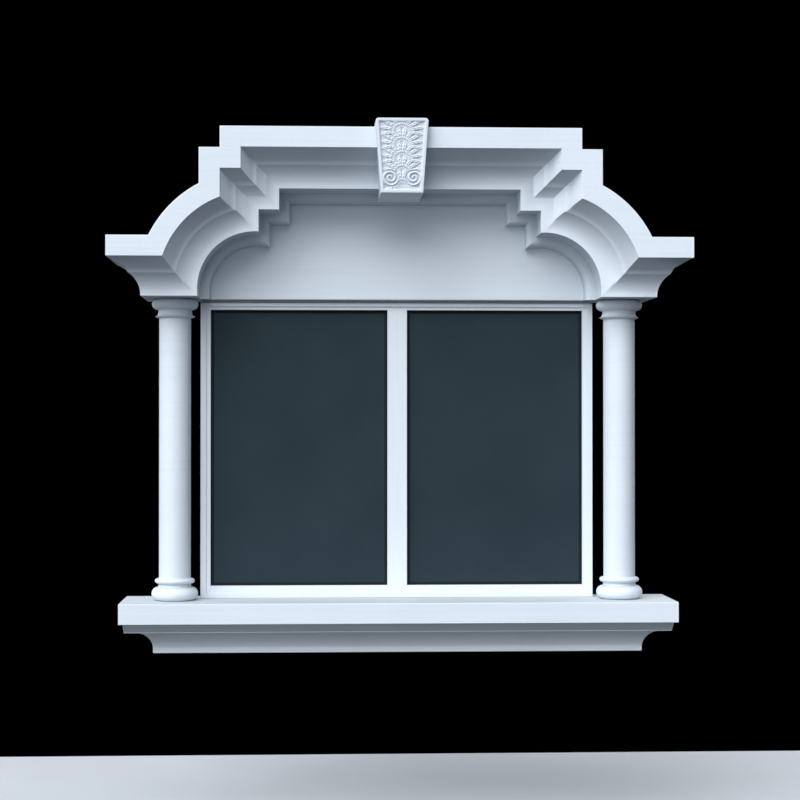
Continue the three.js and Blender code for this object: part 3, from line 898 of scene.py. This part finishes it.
keystone = new_object("keystone_stone", keystone_mesh())
finish_piece(keystone, carved, "carved_stone", "keystone")

window = new_object("window_frame_painted", frame_mesh())
finish_piece(window, painted, "white_frame", "window_frame")

# Floor below the wall opening

FLOOR_TOP = -800
FLOOR_THICKNESS = 30
FLOOR_HALF_WIDTH = 2600
FLOOR_FRONT = -3500
FLOOR_BACK = 1500


def floor_ring(inset, z):
    half = FLOOR_HALF_WIDTH - inset
    front = FLOOR_FRONT + inset
    back = FLOOR_BACK - inset
    return [(-half, front, z), (half, front, z), (half, back, z), (-half, back, z)]


def floor_mesh():
    bottom = floor_ring(0, FLOOR_TOP - FLOOR_THICKNESS)
    edge = floor_ring(0, FLOOR_TOP - ARRIS)
    top = floor_ring(ARRIS, FLOOR_TOP)
    return new_mesh("floor", [*ring_skin([bottom, edge, top]), bottom, top])


floor = new_object("floor", floor_mesh())
floor.data.materials.append(floor_material("pale_floor"))
floor.visible_diffuse = False
floor.visible_glossy = False

# Camera, found by matching the photograph's corners, in metres and radians

CAMERA_PLACE = (-0.3642, -8.195, 0.8101)
CAMERA_TILT = 0.0122
CAMERA_TURN = -0.0464
SENSOR_WIDTH = 36
FOCAL_LENGTH = 89.19

camera = new_object("camera", bpy.data.cameras.new("camera"))
camera.location = CAMERA_PLACE
camera.rotation_euler = (math.pi / 2 + CAMERA_TILT, 0, CAMERA_TURN)
camera.data.sensor_width = SENSOR_WIDTH
camera.data.lens = FOCAL_LENGTH
bpy.context.scene.camera = camera

# Light

LIGHT_COLOUR = (0.965, 1.0, 1.045)
AMBIENT = (0.067, 0.08, 0.094, 1)
BLACK = (0, 0, 0, 1)
SOFT = 45
SOFTER = 50


def soft_light(name, azimuth, elevation, strength, spread=SOFT, glossy=True):
    """A far, wide light; angles in degrees, azimuth 0 in front and positive to the right."""
    turn = math.radians(azimuth)
    rise = math.radians(elevation)
    level = math.cos(rise)
    towards = Vector((math.sin(turn) * level, -math.cos(turn) * level, math.sin(rise)))
    light = new_object(name, bpy.data.lights.new(name, "SUN"))
    light.rotation_euler = towards.to_track_quat("Z", "Y").to_euler()
    light.visible_glossy = glossy
    light.data.color = LIGHT_COLOUR
    light.data.energy = strength * math.pi
    light.data.angle = math.radians(spread)


soft_light("key", -50, 46, 0.57)
soft_light("front_left", -25, 40, 0.25)
soft_light("front", 0, 44, 0.36)
soft_light("low", -14, 5, 0.165, SOFTER, glossy=False)
soft_light("low_left", -65, 8, 0.15, SOFTER, glossy=False)
soft_light("right", 75, 60, 0.07)
soft_light("back_left", -150, 20, 0.2)
soft_light("back_right", 150, 20, 0.25)

# The part is lit by a faint blue ambient, while the camera sees black behind it
world = bpy.data.worlds.new("world")
bpy.context.scene.world = world
world.use_nodes = True
nodes = world.node_tree.nodes
links = world.node_tree.links
ambient = nodes["Background"]
ambient.inputs["Color"].default_value = AMBIENT
black = nodes.new("ShaderNodeBackground")
black.inputs["Color"].default_value = BLACK
path = nodes.new("ShaderNodeLightPath")
either = nodes.new("ShaderNodeMixShader")
links.new(path.outputs["Is Camera Ray"], either.inputs["Fac"])
links.new(ambient.outputs["Background"], either.inputs[1])
links.new(black.outputs["Background"], either.inputs[2])
links.new(either.outputs["Shader"], nodes["World Output"].inputs["Surface"])
bpy.context.scene.view_settings.view_transform = "Standard"
